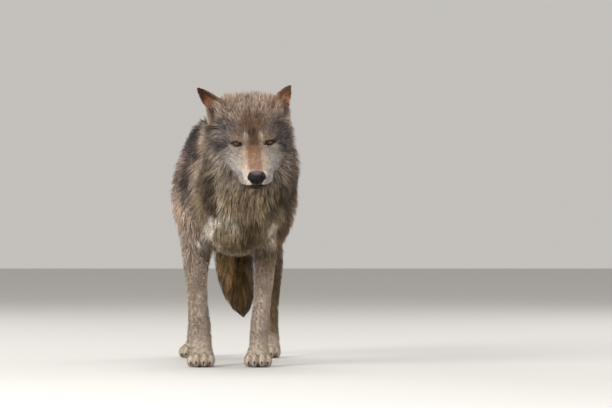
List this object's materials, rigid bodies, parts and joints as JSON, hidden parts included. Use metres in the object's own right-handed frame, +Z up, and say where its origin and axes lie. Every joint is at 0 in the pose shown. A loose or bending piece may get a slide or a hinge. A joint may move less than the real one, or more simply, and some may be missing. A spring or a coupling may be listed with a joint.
{
  "type": "timber wolf",
  "caption": "Life-size still model of a standing grey timber wolf in winter coat, head low and turned slightly to its left, tail hanging straight down.",
  "frame": {"origin": "middle of the outline's length and width, on the floor that the paws stand on", "axes": "-Y is the way the wolf faces, +X is its left side, +Z is up"},
  "size_m": [0.3683, 1.1532, 0.7806],
  "materials": {
    "coat_fur": "grizzled grey-brown guard hair over paler under-fur, soft and matt",
    "saddle_fur": "dark-tipped long guard hair over ochre, matt",
    "leg_fur": "short flat pale tan fur, matt",
    "pale_fur": "short off-white fur, matt",
    "ear_fur": "short rust-brown fur with a pale rim, matt",
    "nose_leather": "black pebbled skin, half gloss",
    "eye": "amber iris and black pupil under a clear wet cornea",
    "claw": "dark horn, half gloss"
  },
  "bodies": {
    "root": {"abdomen": "coat_fur", "chest": "coat_fur", "claw_forepaw_left_1": "claw", "claw_forepaw_left_2": "claw", "claw_forepaw_left_3": "claw", "claw_forepaw_left_4": "claw", "claw_forepaw_right_1": "claw", "claw_forepaw_right_2": "claw", "claw_forepaw_right_3": "claw", "claw_forepaw_right_4": "claw", "claw_hindpaw_left_1": "claw", "claw_hindpaw_left_2": "claw", "claw_hindpaw_left_3": "claw", "claw_hindpaw_left_4": "claw", "claw_hindpaw_right_1": "claw", "claw_hindpaw_right_2": "claw", "claw_hindpaw_right_3": "claw", "claw_hindpaw_right_4": "claw", "ear_left": "ear_fur", "ear_right": "ear_fur", "eye_left": "eye", "eye_right": "eye", "foreleg_forearm_left": "leg_fur", "foreleg_forearm_right": "leg_fur", "foreleg_pastern_left": "leg_fur", "foreleg_pastern_right": "leg_fur", "foreleg_upper_left": "coat_fur", "foreleg_upper_right": "coat_fur", "forepaw_left": "leg_fur", "forepaw_right": "leg_fur", "head": "coat_fur", "hindleg_hock_left": "leg_fur", "hindleg_hock_right": "leg_fur", "hindleg_shank_left": "leg_fur", "hindleg_shank_right": "leg_fur", "hindleg_thigh_left": "coat_fur", "hindleg_thigh_right": "coat_fur", "hindpaw_left": "leg_fur", "hindpaw_right": "leg_fur", "hips": "saddle_fur", "jaw": "pale_fur", "neck": "coat_fur", "nose": "nose_leather", "tail_base": "saddle_fur", "tail_tip": "saddle_fur"}
  },
  "joints": []
}
